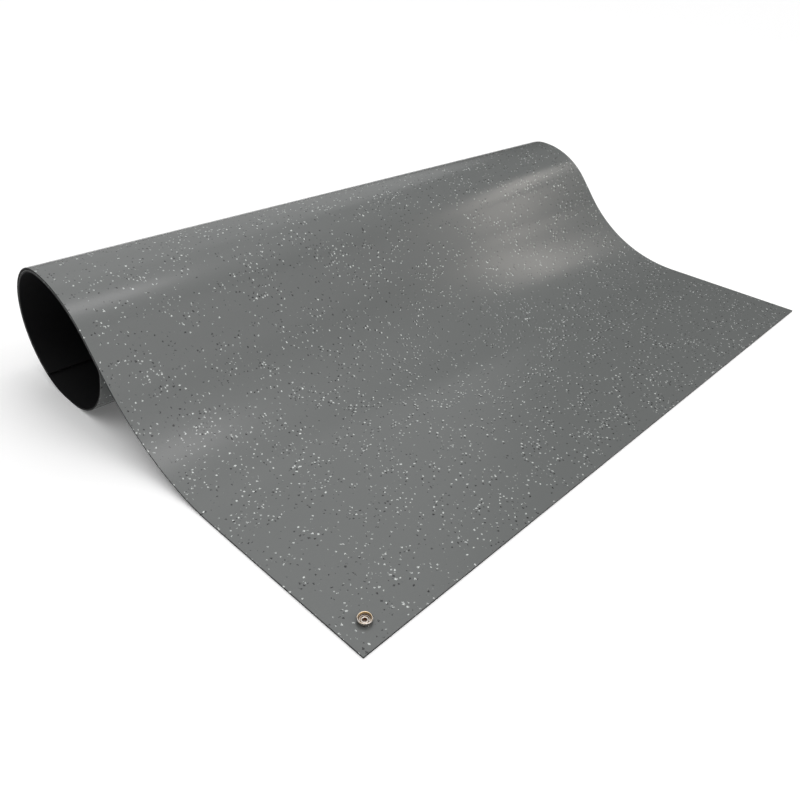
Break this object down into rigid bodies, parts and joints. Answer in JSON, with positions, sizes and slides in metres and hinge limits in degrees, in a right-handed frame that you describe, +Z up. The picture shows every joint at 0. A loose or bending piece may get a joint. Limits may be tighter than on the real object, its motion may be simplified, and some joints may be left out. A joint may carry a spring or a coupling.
{
  "type": "esd floor mat",
  "caption": "Speckled grey rubber anti-static floor mat, half unrolled from a loose roll, with a black back and a riveted metal grounding snap at one corner.",
  "frame": {"origin": "on the floor, under the middle of the box round the whole mat", "axes": "+X along the roll, which is the mat's width; +Y from the flat front edge to the roll; +Z up from the floor"},
  "size_m": [0.9, 0.5476, 0.1466],
  "materials": {
    "rubber": "satin grey face with small white and black flecks, matt black back",
    "nickel": "nickel-plated pressed brass, slightly warm"
  },
  "bodies": {
    "root": {"mat_sheet": "rubber", "snap_socket": "nickel", "snap_rivet": "nickel"}
  },
  "joints": []
}
